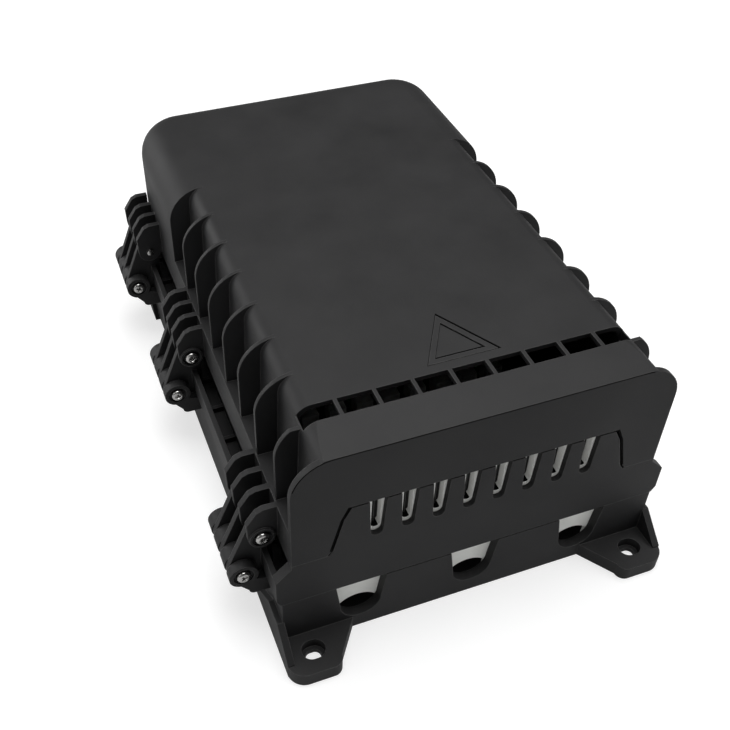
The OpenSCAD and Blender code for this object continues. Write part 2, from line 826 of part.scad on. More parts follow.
module keeper_rivets(side, tip, ys) {
  for (y = ys, s = [-1, 1])
    translate([side + bracket_t, y + s * (latch_w + bracket_tab) / 2, tip[1] + keeper_h / 2])
      rotate([0, 90, 0]) children();
}

module rivet_bore() {
  translate([0, 0, -2 * wall - bracket_t]) cylinder(h = 3 * wall + bracket_t, r = rivet_r + pin_fit);
}

// A rivet with its head outside and its tail swaged inside
module rivet(grip) {
  translate([0, 0, -grip]) cylinder(h = grip + rivet_head_h / 2, r = rivet_r);
  translate([0, 0, -grip - rivet_tail_h]) cylinder(h = rivet_tail_h, r = rivet_tail_r);
  rotate_extrude() intersection() {
    translate([0, rivet_head_h - rivet_head_r * rivet_head_r / rivet_head_h])
      circle(rivet_head_r * rivet_head_r / rivet_head_h, $fn = 96);
    square([rivet_head_r, rivet_head_h]);
  }
}

// A plate on a side wall with a lug at each side of the latch
module latch_brackets(side, pivot, ys) {
  color(silver) placed() difference() {
    for (y = ys) {
      translate([side, y - bracket_w / 2 - bracket_tab, pivot[1] - latch_lug_r])
        cube([bracket_t, bracket_w + 2 * bracket_tab, 2 * latch_lug_r]);
      for (s = [-1, 1]) along(y + (s * (bracket_w - latch_lug_t) - latch_lug_t) / 2, latch_lug_t) {
        translate(pivot) circle(latch_lug_r);
        translate([side, pivot[1] - latch_lug_r]) square([pivot[0] - side, 2 * latch_lug_r]);
      }
    }
    for (y = ys) rod(pivot, y - latch_w, 2 * latch_w, latch_pin_r + pin_fit);
    bracket_rivets(side, pivot, ys) rivet_bore();
  }
}
module cover_latch_brackets() latch_brackets(cover_x, cover_latch_pivot, cover_latch_y);
module frame_latch_brackets() latch_brackets(frame_x, frame_latch_pivot, frame_latch_y);

// A plate on a side wall with a wedge that the latch hooks under
module latch_keepers(side, tip, ys) {
  plate_w = latch_w + 2 * bracket_tab;
  color(silver) placed() difference() {
    for (y = ys) {
      translate([side, y - plate_w / 2, tip[1]]) cube([bracket_t, plate_w, keeper_h]);
      along(y - latch_w / 2, latch_w) polygon([
        [side, tip[1]], tip, tip + [0, keeper_lip], [side + bracket_t, tip[1] + keeper_h],
        [side, tip[1] + keeper_h]
      ]);
    }
    keeper_rivets(side, tip, ys) rivet_bore();
  }
}
module cover_latch_keepers() latch_keepers(frame_x, cover_keeper, cover_latch_y);
module frame_latch_keepers() latch_keepers(base_x, frame_keeper, frame_latch_y);

module cover_rivets() {
  color(silver) placed()
    bracket_rivets(cover_x, cover_latch_pivot, cover_latch_y) rivet(bracket_t + wall);
}

module frame_rivets() {
  color(silver) placed() {
    bracket_rivets(frame_x, frame_latch_pivot, frame_latch_y) rivet(bracket_t + rim_t);
    keeper_rivets(frame_x, cover_keeper, cover_latch_y) rivet(bracket_t + rim_t);
  }
}

module base_rivets() {
  color(silver) placed() keeper_rivets(base_x, frame_keeper, frame_latch_y) rivet(bracket_t + wall);
}

module latch_pins(pivot, ys) {
  color(silver) placed() for (y = ys) rod(pivot, y - bracket_w / 2, bracket_w, latch_pin_r);
}
module cover_latch_pins() latch_pins(cover_latch_pivot, cover_latch_y);
module frame_latch_pins() latch_pins(frame_latch_pivot, frame_latch_y);

// Adapters sit in two rows in an upright panel on the frame's plate
adapter_w = 9.2;
adapter_h = 12.6;
adapter_l = 28;
adapter_flange = 1.4;
adapter_first_up = 14;
adapter_row_pitch = 20;
adapter_pitch = 15;
cap_l = 8;
cap_in = 3;
cap_w = 6.4;
cap_h = 8.4;
module each_adapter() {
  for (r = [0 : adapter_rows - 1], i = [0 : slot_n - 1]) {
    up = adapter_first_up + r * adapter_row_pitch;
    translate([(i - (slot_n - 1) / 2) * adapter_pitch, adapter_y, plate_z + up]) children();
  }
}

module adapter_panel() {
  h = adapter_first_up + adapter_rows * adapter_row_pitch - adapter_row_pitch / 4;
  color("#d5d6d2") placed() difference() {
    translate([-panel_w / 2, adapter_y, plate_z]) {
      cube([panel_w, adapter_panel_t, h]);
      cube([panel_w, panel_foot, adapter_panel_t]);
    }
    each_adapter() cube(
      [adapter_w + 2 * seat_gap, 4 * adapter_panel_t, adapter_h + 2 * seat_gap], center = true
    );
    for (s = [-1, 1]) translate([s * panel_screw_x, adapter_y + panel_foot / 2, plate_z - cut])
      cylinder(h = adapter_panel_t + 2 * cut, r = screw_r + pin_fit);
  }
}

module adapters() {
  color("#2f9e53") placed() each_adapter() difference() {
    union() {
      cube([adapter_w, adapter_l, adapter_h], center = true);
      translate([0, -adapter_flange, 0]) cube(
        [adapter_w + 2 * adapter_flange, 2 * adapter_flange, adapter_h + 2 * adapter_flange],
        center = true
      );
    }
    for (s = [-1, 1]) translate([0, s * adapter_l / 2, 0])
      cube([cap_w + 2 * seat_gap, adapter_l - 2 * adapter_flange, cap_h + 2 * seat_gap], center = true);
  }
}

module adapter_dust_caps() {
  color("#d8dad8") placed() each_adapter() for (s = [-1, 1])
    translate([0, s * (adapter_l + cap_l) / 2, 0]) {
      translate([0, -s * cap_l / 2, 0]) cube([cap_w, 2 * cap_in, cap_h], center = true);
      cube([adapter_w, cap_l, adapter_h - 2 * adapter_flange], center = true);
    }
}

module panel_screws() {
  color(silver) placed() for (s = [-1, 1])
    translate([s * panel_screw_x, adapter_y + panel_foot / 2, 0])
      translate([0, 0, plate_z + adapter_panel_t])
        pan_screw(screw_r, adapter_panel_t + floor_t, screw_head_r, screw_head_h);
}

// Splitter module on the plate behind the adapters
splitter_w = 100;
splitter_l = 80;
splitter_h = 10;
splitter_y = 146;
module splitter_module() {
  color("#b9bcc0") placed() translate([-splitter_w / 2, splitter_y, plate_z]) difference() {
    cube([splitter_w, splitter_l, splitter_h]);
    for (i = [1 : 2 * slot_n])
      translate([i * splitter_w / (2 * slot_n + 1), 0, splitter_h / 2])
        rotate([90, 0, 0]) cylinder(h = 2 * wall, r = wall / 2, center = true, $fn = 24);
  }
}

// Spools that keep the fibre bends wide
spool_x = 58;
spool_y = 252;
spool_r = 20;
spool_h = 12;
module fibre_spools() {
  color("#e2e3df") placed() for (s = [-1, 1]) translate([s * spool_x, spool_y, plate_z]) difference() {
    union() {
      cylinder(h = spool_h, r = spool_r);
      for (a = [0 : 90 : 270]) rotate([0, 0, a + 45])
        translate([spool_r - wall, -wall, spool_h - wall / 2]) cube([3 * wall, 2 * wall, wall / 2]);
    }
    translate([0, 0, -cut]) cylinder(h = spool_h + 2 * cut, r = spool_r - wall);
  }
}

// Comb that the drop cables are tied to
comb_h = 42;
module drop_cable_comb() {
  color("#d5d6d2") placed() difference() {
    translate([-comb_w / 2, comb_y, plate_z]) {
      cube([comb_w, comb_t, comb_h]);
      cube([comb_w, comb_foot, comb_t]);
    }
    along(comb_y - cut, comb_t + 2 * cut) each_slot() translate([0, plate_z + comb_h - comb_foot]) {
      circle(slot_r);
      translate([-slot_r, 0]) square([2 * slot_r, comb_h]);
    }
    for (s = [-1, 1]) translate([s * comb_screw_x, comb_y + comb_foot / 2, plate_z - cut])
      cylinder(h = comb_t + 2 * cut, r = screw_r + pin_fit);
  }
}

module comb_screws() {
  color(silver) placed() for (s = [-1, 1])
    translate([s * comb_screw_x, comb_y + comb_foot / 2, plate_z + comb_t])
      pan_screw(screw_r, comb_t + floor_t, screw_head_r, screw_head_h);
}

// Soft ring round the hole between the two compartments
grommet_t = 2;
module pass_through_grommet() {
  color("#3a3a3c") placed() difference() {
    union() {
      flat(frame_z, floor_t) pass_hole(0);
      flat(plate_z, grommet_t) pass_hole(grommet_t);
      flat(frame_z - grommet_t, grommet_t) pass_hole(grommet_t);
    }
    flat(frame_z - 2 * grommet_t, floor_t + 4 * grommet_t) pass_hole(-grommet_t);
  }
}

// Splice trays stacked on four posts
tray_wall = 1.5;
tray_r = 8;
module tray_plan(inset) {
  w = tray_w - 2 * inset;
  l = tray_l - 2 * inset;
  r = tray_r - inset;
  translate([-w / 2, tray_y + inset]) {
    translate([r, 0]) square([w - 2 * r, l]);
    translate([0, r]) square([w, l - 2 * r]);
    for (x = [r, w - r], y = [r, l - r]) translate([x, y]) circle(r);
  }
}

spine_w = 60;
spine_r = 14;
module splice_tray(z) {
  color("#ececea") placed() difference() {
    union() {
      flat(z, tray_wall) tray_plan(0);
      flat(z, tray_h) difference() {
        tray_plan(0);
        tray_plan(tray_wall);
      }
      for (s = [0, 1]) translate([0, tray_y + tray_l / 2 + (2 * s - 1) * (tray_l / 2 - 2 * spine_r), z])
        difference() {
          cylinder(h = tray_h, r = spine_r);
          translate([0, 0, tray_wall]) cylinder(h = tray_h, r = spine_r - tray_wall);
        }
      each_tray_post() translate([0, 0, z]) cylinder(h = tray_h, r = boss_post_r);
    }
    each_tray_post() translate([0, 0, z - cut]) cylinder(h = tray_h + 2 * cut, r = screw_r + pin_fit);
  }
}
module lower_splice_tray() splice_tray(tray_z);
module upper_splice_tray() splice_tray(tray_z + tray_h);

lid_t = 1.5;
lid_z = tray_z + 2 * tray_h;
module splice_tray_lid() {
  color([0.85, 0.9, 0.95, 0.4]) placed() difference() {
    flat(lid_z, lid_t) tray_plan(0);
    each_tray_post() translate([0, 0, lid_z - cut]) cylinder(h = lid_t + 2 * cut, r = screw_r + pin_fit);
  }
}

// Combs that hold the splice sleeves, one in each tray
holder_n = 6;
holder_pitch = 5;
holder_l = 36;
holder_h = 5.5;
module splice_holders() {
  w = (holder_n + 1) * holder_pitch;
  color("#8f9296") placed() for (k = [0, 1])
    translate([-w / 2, tray_y + (tray_l - holder_l) / 2, tray_z + tray_wall + k * tray_h]) difference() {
      cube([w, holder_l, holder_h]);
      for (i = [1 : holder_n]) translate([i * holder_pitch, -cut, holder_h]) rotate([-90, 0, 0])
        cylinder(h = holder_l + 2 * cut, r = holder_pitch / 3, $fn = 24);
    }
}

module tray_screws() {
  color(silver) placed() each_tray_post() translate([0, 0, lid_z + lid_t])
    pan_screw(screw_r, lid_z + lid_t - floor_t - cut, screw_head_r, screw_head_h);
}

// Clamps over the feeder cables, screwed down on the base's saddles
clamp_screw_in = 3.5;
clamp_screw_x = saddle_w / 2 - clamp_screw_in;
clamp_ear_h = 3;
clamp_arch_t = 2.5;
module cable_clamps() {
  color(silver) placed() each_port() difference() {
    union() {
      rod([0, cable_z], saddle_y, saddle_l, cable_r + clamp_arch_t);
      translate([-saddle_w / 2, saddle_y, cable_z]) cube([saddle_w, saddle_l, clamp_ear_h]);
    }
    rod([0, cable_z], saddle_y - cut, saddle_l + 2 * cut, cable_r);
    translate([-saddle_w, saddle_y - cut, cable_z - saddle_w])
      cube([2 * saddle_w, saddle_l + 2 * cut, saddle_w + seat_gap / 2]);
    for (s = [-1, 1]) translate([s * clamp_screw_x, saddle_y + saddle_l / 2, cable_z])
      cylinder(h = clamp_ear_h + cut, r = screw_r + pin_fit);
  }
}

module clamp_screws() {
  color(silver) placed() each_port() for (s = [-1, 1])
    translate([s * clamp_screw_x, saddle_y + saddle_l / 2, cable_z + clamp_ear_h])
      pan_screw(screw_r, clamp_ear_h + screw_l - cut, screw_head_r, screw_head_h);
}

// Posts that the cables' strength members are clamped in
post_h = 14;
module strength_member_posts() {
  color("#b8a468") placed() each_port() difference() {
    translate([-post_w / 2, post_y, floor_t]) cube([post_w, post_w, post_h]);
    rod([0, floor_t + 2 * post_h / 3], post_y - cut, post_w + 2 * cut, screw_r);
    translate([0, post_y + post_w / 2, floor_t + post_h / 2]) cylinder(h = post_h, r = screw_r + pin_fit);
  }
}

module post_screws() {
  color(silver) placed() each_port() translate([0, post_y + post_w / 2, floor_t + post_h])
    pan_screw(screw_r, post_h / 3 - 2 * screw_r, screw_head_r, screw_head_h);
}

// Terminal that bonds the metal parts of the feeder cables
earth_x = -84;
earth_l = 34;
earth_w = 9;
earth_h = 8;
earth_y = 70;
module each_earth_screw() {
  for (k = [1, 3]) translate([earth_x + earth_w / 2, earth_y + k * earth_l / 4, 0]) children();
}

module earth_terminal() {
  color("#b8a468") placed() difference() {
    translate([earth_x, earth_y, floor_t]) cube([earth_w, earth_l, earth_h]);
    each_earth_screw() translate([0, 0, floor_t + earth_h / 4]) cylinder(h = earth_h, r = screw_r + pin_fit);
  }
}

module earth_screws() {
  color(silver) placed() each_earth_screw() translate([0, 0, floor_t + earth_h])
    pan_screw(screw_r, earth_h / 2, screw_head_r, screw_head_h);
}

base();
middle_frame();
cover();
base_gasket();
cover_gasket();
feeder_port_seals();
drop_slot_seal();
lower_hinge_screws();
upper_hinge_screws();
front_cover_latch();
rear_cover_latch();
front_frame_latch();
rear_frame_latch();
cover_latch_pins();
frame_latch_pins();
cover_latch_brackets();
frame_latch_brackets();
cover_latch_keepers();
frame_latch_keepers();
cover_rivets();
frame_rivets();
base_rivets();
adapter_panel();
adapters();
adapter_dust_caps();
panel_screws();
splitter_module();
fibre_spools();
drop_cable_comb();
comb_screws();
pass_through_grommet();
lower_splice_tray();
upper_splice_tray();
splice_tray_lid();
splice_holders();
tray_screws();
cable_clamps();
clamp_screws();
strength_member_posts();
post_screws();
earth_terminal();
earth_screws();
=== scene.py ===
import math

import bmesh
import bpy
from mathutils import Matrix, Vector


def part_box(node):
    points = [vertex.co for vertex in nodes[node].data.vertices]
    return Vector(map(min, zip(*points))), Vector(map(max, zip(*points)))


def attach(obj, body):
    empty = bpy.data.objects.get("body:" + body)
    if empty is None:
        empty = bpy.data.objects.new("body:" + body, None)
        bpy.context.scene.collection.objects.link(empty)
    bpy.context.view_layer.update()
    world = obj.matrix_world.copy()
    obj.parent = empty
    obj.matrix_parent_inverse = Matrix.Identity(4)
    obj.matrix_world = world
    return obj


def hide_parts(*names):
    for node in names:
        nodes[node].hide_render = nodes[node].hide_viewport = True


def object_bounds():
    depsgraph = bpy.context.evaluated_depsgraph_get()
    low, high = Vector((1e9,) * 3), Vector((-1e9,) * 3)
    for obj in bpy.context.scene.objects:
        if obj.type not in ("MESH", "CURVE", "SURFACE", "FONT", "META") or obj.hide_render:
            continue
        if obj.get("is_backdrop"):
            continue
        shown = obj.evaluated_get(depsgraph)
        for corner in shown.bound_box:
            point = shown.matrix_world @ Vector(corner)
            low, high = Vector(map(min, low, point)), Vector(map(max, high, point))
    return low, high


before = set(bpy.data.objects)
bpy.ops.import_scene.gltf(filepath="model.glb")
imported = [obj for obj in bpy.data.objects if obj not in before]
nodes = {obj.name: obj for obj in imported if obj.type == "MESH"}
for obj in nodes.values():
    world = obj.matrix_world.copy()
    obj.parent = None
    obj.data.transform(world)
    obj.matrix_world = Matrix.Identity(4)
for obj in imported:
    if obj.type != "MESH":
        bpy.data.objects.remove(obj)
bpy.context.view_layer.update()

mm = 0.001
root3 = math.sqrt(3)

# The camera stands where the photograph was taken from
camera_data = bpy.data.cameras.new("photo_camera")
camera_data.sensor_width = 36
camera_data.lens = 49.28
camera_data.shift_x = 0.0454
camera_data.shift_y = -0.0089
camera_data.clip_start = 0.01
camera = bpy.data.objects.new("photo_camera", camera_data)
bpy.context.scene.collection.objects.link(camera)
camera.location = (-0.16865, -0.39358, 0.42710)
camera.rotation_euler = [math.radians(a) for a in (47.02, -0.56, -20.36)]
bpy.context.scene.camera = camera


# Effects that several finishes share
def start_group(name, inputs, outputs):
    group = bpy.data.node_groups.new(name, "ShaderNodeTree")
    for label, value in inputs:
        socket = group.interface.new_socket(
            name=label, in_out="INPUT", socket_type="NodeSocketFloat")
        socket.default_value = value
    for label, kind in outputs:
        group.interface.new_socket(name=label, in_out="OUTPUT", socket_type=kind)
    return group, group.nodes.new("NodeGroupInput"), group.nodes.new("NodeGroupOutput")


def math_node(tree, operation, a, b=None, clamp=False):
    node = tree.nodes.new("ShaderNodeMath")
    node.operation = operation
    node.use_clamp = clamp
    for socket, value in zip(node.inputs, (a, b)):
        if isinstance(value, (int, float)):
            socket.default_value = value
        elif value is not None:
            tree.links.new(value, socket)
    return node.outputs[0]


def noise_node(tree, rate, detail, roughness=0.5):
    """Noise through the whole part, so that it runs on over its edges."""
    place = tree.nodes.new("ShaderNodeTexCoord")
    noise = tree.nodes.new("ShaderNodeTexNoise")
    noise.inputs["Detail"].default_value = detail
    noise.inputs["Roughness"].default_value = roughness
    tree.links.new(place.outputs["Object"], noise.inputs["Vector"])
    tree.links.new(rate, noise.inputs["Scale"])
    return noise.outputs["Fac"]


def make_grain():
    """Fine spark texture of a mould, with a slow drift of tone over the part."""
    group, given, out = start_group(
        "mould_grain",
        [("Grain per metre", 1400.0), ("Drift per metre", 22.0)],
        [("Height", "NodeSocketFloat"), ("Drift", "NodeSocketFloat")],
    )
    grain = noise_node(group, given.outputs["Grain per metre"], 2.0)
    drift = noise_node(group, given.outputs["Drift per metre"], 4.0)
    group.links.new(grain, out.inputs["Height"])
    group.links.new(drift, out.inputs["Drift"])
    return group


def make_edge_wear_and_highlight():
    """Rounds a moulded edge and marks it for a lighter colour: a painted highlight, broken up
    like rubbed wear.
    """
    group, given, out = start_group(
        "edge_wear_and_highlight",
        [("Reach", 0.0006), ("Strength", 2.0), ("Breaks per metre", 260.0)],
        [("Mask", "NodeSocketFloat"), ("Normal", "NodeSocketVector")],
    )
    bevel = group.nodes.new("ShaderNodeBevel")
    bevel.samples = 6
    group.links.new(given.outputs["Reach"], bevel.inputs["Radius"])
    surface = group.nodes.new("ShaderNodeNewGeometry")
    dot = group.nodes.new("ShaderNodeVectorMath")
    dot.operation = "DOT_PRODUCT"
    group.links.new(bevel.outputs["Normal"], dot.inputs[0])
    group.links.new(surface.outputs["Normal"], dot.inputs[1])
    turn = math_node(group, "SUBTRACT", 1.0, dot.outputs["Value"])
    strong = math_node(group, "MULTIPLY", turn, given.outputs["Strength"])
    breaks = noise_node(group, given.outputs["Breaks per metre"], 3.0)
    mask = math_node(group, "MULTIPLY", strong, breaks, clamp=True)
    group.links.new(mask, out.inputs["Mask"])
    group.links.new(bevel.outputs["Normal"], out.inputs["Normal"])
    return group


def make_dust():
    """Dust that lies on what faces up."""
    group, given, out = start_group(
        "settled_dust",
        [("Amount", 0.2), ("Clouds per metre", 45.0)],
        [("Mask", "NodeSocketFloat")],
    )
    surface = group.nodes.new("ShaderNodeNewGeometry")
    split = group.nodes.new("ShaderNodeSeparateXYZ")
    group.links.new(surface.outputs["Normal"], split.inputs[0])
    up = math_node(group, "MULTIPLY", split.outputs["Z"], given.outputs["Amount"], clamp=True)
    clouds = noise_node(group, given.outputs["Clouds per metre"], 6.0, roughness=0.65)
    mask = math_node(group, "MULTIPLY", up, clouds, clamp=True)
    group.links.new(mask, out.inputs["Mask"])
    return group


grain_group, edge_wear_highlight_group, dust_group = make_grain(), make_edge_wear_and_highlight(), make_dust()
dust_colour = (0.32, 0.31, 0.30)
# Values of the drift at which the roughness reaches its two ends
drift_low, drift_high = 0.3, 0.7


def place_group(tree, group, **values):
    node = tree.nodes.new("ShaderNodeGroup")
    node.node_tree = group
    for label, value in values.items():
        node.inputs[label.replace("_", " ").capitalize()].default_value = value
    return node


def mix_colour(tree, factor, a, b):
    node = tree.nodes.new("ShaderNodeMix")
    node.data_type = "RGBA"
    tree.links.new(factor, node.inputs["Factor"])
    for socket, value in ((node.inputs["A"], a), (node.inputs["B"], b)):
        if isinstance(value, tuple):
            socket.default_value = (*value, 1)
        else:
            tree.links.new(value, socket)
    return node.outputs["Result"]


def moulded(name, colour, lighter, rubbed_and_highlit, *, roughness, dust, specular=0.4, metallic=0.0,
            clear=0.0, reach=0.0006, edge_lightening=2.0, grain_height=0.00004, grain_rate=1400.0,
            drift_rate=22.0):
    """A moulded or machined finish: drifting tone, fine grain, edges lightened by a painted
    highlight mixed with rubbed wear, settled dust.
    """
    material = bpy.data.materials.new(name)
    material.use_nodes = True
    tree = material.node_tree
    shader = tree.nodes["Principled BSDF"]
    shader.inputs["Specular IOR Level"].default_value = specular
    shader.inputs["Metallic"].default_value = metallic
    shader.inputs["Transmission Weight"].default_value = clear
    grain = place_group(tree, grain_group, grain_per_metre=grain_rate, drift_per_metre=drift_rate)
    edge = place_group(tree, edge_wear_highlight_group, reach=reach, strength=edge_lightening)
    fallen = place_group(tree, dust_group, amount=dust)
    base = mix_colour(tree, grain.outputs["Drift"], colour, lighter)
    # Painted highlight, partly rubbed wear: the edge mask lightens the colour along every edge
    rubbed_and_lit = mix_colour(tree, edge.outputs["Mask"], base, rubbed_and_highlit)
    dusty = mix_colour(tree, fallen.outputs["Mask"], rubbed_and_lit, dust_colour)
    tree.links.new(dusty, shader.inputs["Base Color"])
    rough = tree.nodes.new("ShaderNodeMapRange")
    rough.inputs["From Min"].default_value = drift_low
    rough.inputs["From Max"].default_value = drift_high
    rough.inputs["To Min"].default_value = roughness[0]
    rough.inputs["To Max"].default_value = roughness[1]
    tree.links.new(grain.outputs["Drift"], rough.inputs["Value"])
    tree.links.new(rough.outputs["Result"], shader.inputs["Roughness"])
    bump = tree.nodes.new("ShaderNodeBump")
    bump.inputs["Distance"].default_value = grain_height
    tree.links.new(grain.outputs["Height"], bump.inputs["Height"])
    tree.links.new(edge.outputs["Normal"], bump.inputs["Normal"])
    tree.links.new(bump.outputs["Normal"], shader.inputs["Normal"])
    return material


black = moulded(
    "black_polymer", (0.0085, 0.0085, 0.0090), (0.0185, 0.0185, 0.0192), (0.17, 0.167, 0.165),
    roughness=(0.5, 0.62), dust=0.03, specular=0.27, edge_lightening=3.0, grain_height=0.00005)
latch_black = moulded(
    "latch_polymer", (0.009, 0.009, 0.010), (0.013, 0.013, 0.014), (0.07, 0.07, 0.07),
    roughness=(0.38, 0.48), dust=0.02, specular=0.3)
gasket = moulded(
    "gasket_rubber", (0.012, 0.012, 0.012), (0.02, 0.02, 0.02), (0.05, 0.05, 0.05),
    roughness=(0.75, 0.85), dust=0.05, specular=0.2, edge_lightening=0.6)
lip_rubber = moulded(
    "slit_lip_rubber", (0.05, 0.05, 0.05), (0.08, 0.08, 0.08), (0.16, 0.16, 0.15),
    roughness=(0.6, 0.7), dust=0.0, specular=0.3, edge_lightening=0.8)
seal = moulded(
    "pale_seal_rubber", (0.76, 0.77, 0.74), (0.84, 0.85, 0.82), (0.86, 0.86, 0.84),
    roughness=(0.55, 0.7), dust=0.03, edge_lightening=0.5, grain_height=0.00012, grain_rate=900.0)
# Light spreads inside the pale rubber, and a faint painted glow (emission) lifts it in the shade
# of its slots
seal_shader = seal.node_tree.nodes["Principled BSDF"]
seal_shader.inputs["Subsurface Weight"].default_value = 0.4
seal_shader.inputs["Subsurface Radius"].default_value = (1, 1, 1)
seal_shader.inputs["Subsurface Scale"].default_value = 0.003
seal_shader.inputs["Emission Color"].default_value = (0.9, 0.9, 0.86, 1)
seal_shader.inputs["Emission Strength"].default_value = 0.08
steel = moulded(
    "plated_steel", (0.22, 0.22, 0.22), (0.74, 0.73, 0.71), (0.85, 0.85, 0.84),
    roughness=(0.14, 0.30), dust=0.0, metallic=1.0, reach=0.0002, edge_lightening=1.0,
    grain_height=0.00001, grain_rate=3200.0, drift_rate=420.0)
# Near-black for painted shadows: thin sheets and lines that stand in for shade
shadow_line = moulded(
    "painted_shadow_black", (0.001, 0.001, 0.001), (0.002, 0.002, 0.002), (0.004, 0.004, 0.004),
    roughness=(0.85, 0.95), dust=0.0, specular=0.05, edge_lightening=0.3)
light_plastic = moulded(
    "pale_polymer", (0.62, 0.62, 0.60), (0.70, 0.70, 0.68), (0.8, 0.8, 0.79),
    roughness=(0.4, 0.5), dust=0.05, edge_lightening=0.6)
green_plastic = moulded(
    "green_polymer", (0.02, 0.26, 0.07), (0.03, 0.32, 0.09), (0.15, 0.5, 0.22),
    roughness=(0.32, 0.42), dust=0.03, edge_lightening=0.8)
grey_plastic = moulded(
    "grey_polymer", (0.28, 0.29, 0.31), (0.34, 0.35, 0.37), (0.5, 0.5, 0.52),
    roughness=(0.45, 0.55), dust=0.05, edge_lightening=0.8)
clear_plastic = moulded(
    "clear_polymer", (0.80, 0.85, 0.90), (0.86, 0.90, 0.94), (0.92, 0.95, 0.97),
    roughness=(0.10, 0.18), dust=0.03, edge_lightening=0.4, clear=0.92)
brass = moulded(
    "brass", (0.55, 0.38, 0.14), (0.66, 0.48, 0.2), (0.85, 0.7, 0.4),
    roughness=(0.25, 0.38), dust=0.0, metallic=1.0, reach=0.0003, edge_lightening=1.0,
    grain_height=0.00001, grain_rate=2600.0)

finishes = {
    black: ["base", "middle_frame", "cover"],
    gasket: ["base_gasket", "cover_gasket", "pass_through_grommet"],
    seal: ["feeder_port_seals", "drop_slot_seal"],
    steel: [
        "lower_hinge_screws", "upper_hinge_screws", "cover_latch_pins", "frame_latch_pins",
        "cover_latch_brackets", "frame_latch_brackets", "cover_latch_keepers",
        "frame_latch_keepers", "cover_rivets", "frame_rivets", "base_rivets", "panel_screws",
        "comb_screws", "tray_screws", "cable_clamps", "clamp_screws", "post_screws",
        "earth_screws",
    ],
    latch_black: [
        "front_cover_latch", "rear_cover_latch", "front_frame_latch", "rear_frame_latch",
    ],
    light_plastic: [
        "adapter_panel", "adapter_dust_caps", "fibre_spools", "drop_cable_comb",
        "lower_splice_tray", "upper_splice_tray",
    ],
    green_plastic: ["adapters"],
    grey_plastic: ["splitter_module", "splice_holders"],
    clear_plastic: ["splice_tray_lid"],
    brass: ["strength_member_posts", "earth_terminal"],
}
for finish, names in finishes.items():
    for name in names:
        nodes[name].data.materials.clear()
        nodes[name].data.materials.append(finish)


# Modelling by hand: one piece is made active, then its faces and edges are picked by their place
def deselect():
    bpy.ops.object.select_all(action="DESELECT")


def make_active(piece):
    deselect()
    piece.select_set(True)
    bpy.context.view_layer.objects.active = piece


def settle(piece):
    """Brings a piece's place into its mesh, so that its object sits at the origin."""
    make_active(piece)
    bpy.ops.object.transform_apply(location=True, rotation=True, scale=True)


def block(name, low, high):
    """A block between two corners, to be shaped further."""
    low, high = Vector(low), Vector(high)
    deselect()
    bpy.ops.mesh.primitive_cube_add(size=1, location=(low + high) / 2)
    piece = bpy.context.active_object
    piece.name = name
    piece.scale = high - low
    settle(piece)
    return piece


def rod(name, radius, start, end, sides):
    """A round bar between two points, to be shaped further."""
    start, end = Vector(start), Vector(end)
    deselect()
    bpy.ops.mesh.primitive_cylinder_add(
        vertices=sides, radius=radius, depth=(end - start).length, location=(start + end) / 2,
        rotation=(end - start).to_track_quat("Z", "Y").to_euler())
    piece = bpy.context.active_object
    piece.name = name
    settle(piece)
    return piece


def pick(kind, wanted):
    """In edit mode, selects the faces, edges or corners whose place (and normal) is wanted."""
    bpy.ops.mesh.select_mode(type=kind)
    bpy.ops.mesh.select_all(action="DESELECT")
    mesh = bmesh.from_edit_mesh(bpy.context.active_object.data)
    for part in {"FACE": mesh.faces, "EDGE": mesh.edges, "VERT": mesh.verts}[kind]:
        if kind == "FACE":
            chosen = wanted(part.calc_center_median(), part.normal)
        elif kind == "EDGE":
            chosen = all(wanted(corner.co) for corner in part.verts)
        else:
            chosen = wanted(part.co)
        part.select_set(chosen)
    mesh.select_flush_mode()
    bmesh.update_edit_mesh(bpy.context.active_object.data)


def apply_last(piece):
    make_active(piece)
    bpy.ops.object.modifier_apply(modifier=piece.modifiers[-1].name)


def combine(piece, other, operation):
    modifier = piece.modifiers.new("combine", "BOOLEAN")
    modifier.operation = operation
    modifier.solver = "EXACT"
    modifier.object = other
    apply_last(piece)
    bpy.data.objects.remove(other, do_unlink=True)


def cut_away(piece, cutter):
    """Cuts one shape out of another and removes the cutter."""
    combine(piece, cutter, "DIFFERENCE")


def fuse(piece, other):
    """Makes two shapes that overlap into one."""
    combine(piece, other, "UNION")


def thicken(sheet, thickness, offset):
    """Gives a flat sheet a thickness, to one side of it (1) or to both (0)."""
    shell = sheet.modifiers.new("thickness", "SOLIDIFY")
    shell.thickness = thickness
    shell.offset = offset
    apply_last(sheet)


def soften(piece, width, steps):
    """Rounds the sharp edges of a piece."""
    modifier = piece.modifiers.new("soften", "BEVEL")
    modifier.width = width
    modifier.segments = steps
    modifier.limit_method = "ANGLE"
    modifier.angle_limit = math.radians(30)
    modifier.harden_normals = False
    apply_last(piece)


def smooth(piece):
    make_active(piece)
    bpy.ops.object.shade_smooth_by_angle(angle=math.radians(35))


def copy_to(piece, name, turn=Matrix.Identity(4), shift=(0, 0, 0)):
    """A copy with its own mesh, turned and moved in its mesh."""
    twin = piece.copy()
    twin.data = piece.data.copy()
    twin.name = name
    bpy.context.scene.collection.objects.link(twin)
    twin.data.transform(Matrix.Translation(Vector(shift)) @ turn)
    return twin


def join(name, pieces):
    deselect()
    for piece in pieces:
        piece.select_set(True)
    bpy.context.view_layer.objects.active = pieces[0]
    if len(pieces) > 1:
        bpy.ops.object.join()
    pieces[0].name = name
    return pieces[0]


def dress(piece, finish, body):
    piece.data.materials.clear()
    piece.data.materials.append(finish)
    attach(piece, body)


# Proportions of a cross-head screw, first those to the height of its head
crown_round, cross_depth, cross_top = 0.62, 0.75, 1.2
